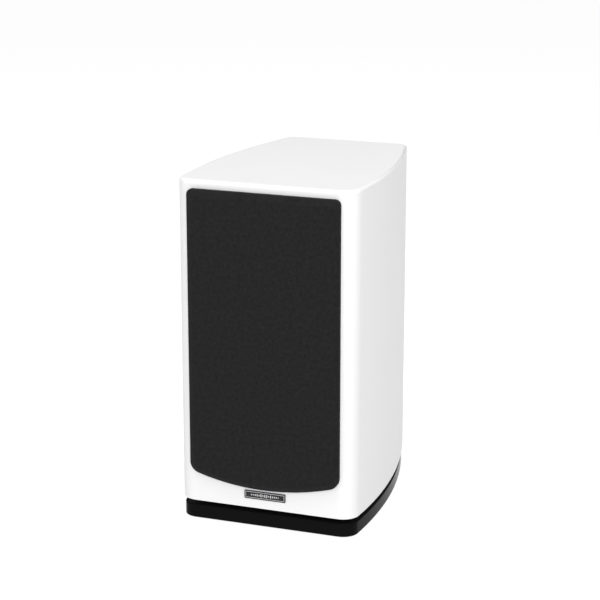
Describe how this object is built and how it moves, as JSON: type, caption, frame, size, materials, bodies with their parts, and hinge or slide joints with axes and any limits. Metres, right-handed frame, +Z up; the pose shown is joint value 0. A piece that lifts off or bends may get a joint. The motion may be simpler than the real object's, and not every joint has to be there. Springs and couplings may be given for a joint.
{
  "type": "bookshelf speaker",
  "caption": "Two-way bookshelf speaker: white bowed cabinet on a black plinth, bevelled pull-off cloth grille, woofer and dome tweeter inside, downward port, rear binding posts.",
  "frame": {"origin": "centre of the bounding box at the level of the rubber feet", "axes": "+Z up, -Y the front with the grille, +X to the right seen from the front"},
  "size_m": [0.1876, 0.2666, 0.345],
  "materials": {
    "lacquer": "gloss white lacquer over board",
    "mdf": "bare fibreboard",
    "wadding": "soft polyester wadding",
    "black_plastic": "fine moulded grain",
    "plinth_gloss": "gloss black lacquer",
    "screw_steel": "black oxide",
    "rubber": "matt rubber",
    "grille_cloth": "fine acoustic knit",
    "badge": "satin dark grey",
    "badge_line": "satin silver",
    "cast_metal": "powder coat",
    "cone": "woven composite, semi-matt",
    "aluminium": "plain foil",
    "copper": "enamelled copper wire",
    "spider_cloth": "resin-dipped cotton",
    "plated_steel": "zinc plated",
    "ferrite": "sintered ferrite",
    "brass": "gold plated",
    "dome_cloth": "coated silk",
    "board": "solder-masked laminate",
    "capacitor": "film capacitor sleeve",
    "ceramic": "cement body",
    "red_plastic": "moulded",
    "red_lead": "insulated wire",
    "black_lead": "insulated wire"
  },
  "bodies": {
    "cabinet": {"front_baffle": "lacquer", "top_panel": "lacquer", "bottom_panel": "lacquer", "left_side_panel": "lacquer", "right_side_panel": "lacquer", "rear_panel": "lacquer", "shelf_brace": "mdf", "damping_wadding": "wadding", "port_tube": "black_plastic", "plinth": "plinth_gloss", "plinth_spacers": "black_plastic", "plinth_screws": "screw_steel", "rubber_feet": "rubber", "grille_sockets": "rubber", "badge_plate": "badge", "badge_mark": "badge_line", "woofer_basket": "cast_metal", "woofer_gasket": "rubber", "woofer_trim_ring": "black_plastic", "woofer_front_plate": "plated_steel", "woofer_magnet": "ferrite", "woofer_back_plate": "plated_steel", "woofer_terminals": "brass", "woofer_screws": "screw_steel", "tweeter_faceplate": "black_plastic", "tweeter_gasket": "rubber", "tweeter_front_plate": "plated_steel", "tweeter_magnet": "ferrite", "tweeter_back_plate": "plated_steel", "tweeter_rear_chamber": "black_plastic", "tweeter_screws": "screw_steel", "crossover_board": "board", "crossover_standoffs": "screw_steel", "crossover_inductors": "copper", "crossover_capacitors": "capacitor", "crossover_resistors": "ceramic", "terminal_panel": "black_plastic", "terminal_screws": "screw_steel", "post_insulators": "black_plastic", "positive_post": "brass", "negative_post": "brass", "post_rear_nuts": "brass", "positive_leads": "red_lead", "negative_leads": "black_lead"},
    "grille": {"grille_frame": "black_plastic", "grille_cloth": "grille_cloth", "grille_pegs": "black_plastic"},
    "woofer_moving": {"woofer_cone": "cone", "woofer_dust_cap": "cone", "woofer_surround": "rubber", "woofer_spider": "spider_cloth", "woofer_coil_former": "aluminium", "woofer_coil_winding": "copper"},
    "tweeter_moving": {"tweeter_dome": "dome_cloth", "tweeter_surround": "dome_cloth", "tweeter_voice_coil": "copper"},
    "positive_clamp": {"positive_clamp_washer": "brass"},
    "positive_nut": {"positive_thumb_nut": "red_plastic"},
    "negative_clamp": {"negative_clamp_washer": "brass"},
    "negative_nut": {"negative_thumb_nut": "black_plastic"}
  },
  "joints": [
    {"name": "grille_pull", "type": "slide", "parent": "cabinet", "child": "grille", "axis": [0, -1, 0], "range_m": [0, 0.03]},
    {"name": "woofer_stroke", "type": "slide", "parent": "cabinet", "child": "woofer_moving", "axis": [0, -1, 0], "range_m": [-0.0035, 0.0035], "stiffness_N_per_m": 900, "deforming": ["woofer_surround", "woofer_spider"]},
    {"name": "tweeter_stroke", "type": "slide", "parent": "cabinet", "child": "tweeter_moving", "axis": [0, -1, 0], "range_m": [-0.0004, 0.0004], "stiffness_N_per_m": 2500, "deforming": ["tweeter_surround"]},
    {"name": "positive_clamp_slide", "type": "slide", "parent": "cabinet", "child": "positive_clamp", "axis": [0, 1, 0], "range_m": [0, 0.003]},
    {"name": "positive_nut_turn", "type": "hinge", "parent": "positive_clamp", "child": "positive_nut", "pos_m": [0.0095, 0.1285, 0.095], "axis": [0, 1, 0], "range_deg": [0, 1080]},
    {"name": "negative_clamp_slide", "type": "slide", "parent": "cabinet", "child": "negative_clamp", "axis": [0, 1, 0], "range_m": [0, 0.003]},
    {"name": "negative_nut_turn", "type": "hinge", "parent": "negative_clamp", "child": "negative_nut", "pos_m": [-0.0095, 0.1285, 0.095], "axis": [0, 1, 0], "range_deg": [0, 1080]}
  ],
  "couplings": [
    {"joint": "positive_nut_turn", "follows": "positive_clamp_slide", "rad_per_m": 6283.2},
    {"joint": "negative_nut_turn", "follows": "negative_clamp_slide", "rad_per_m": 6283.2}
  ]
}
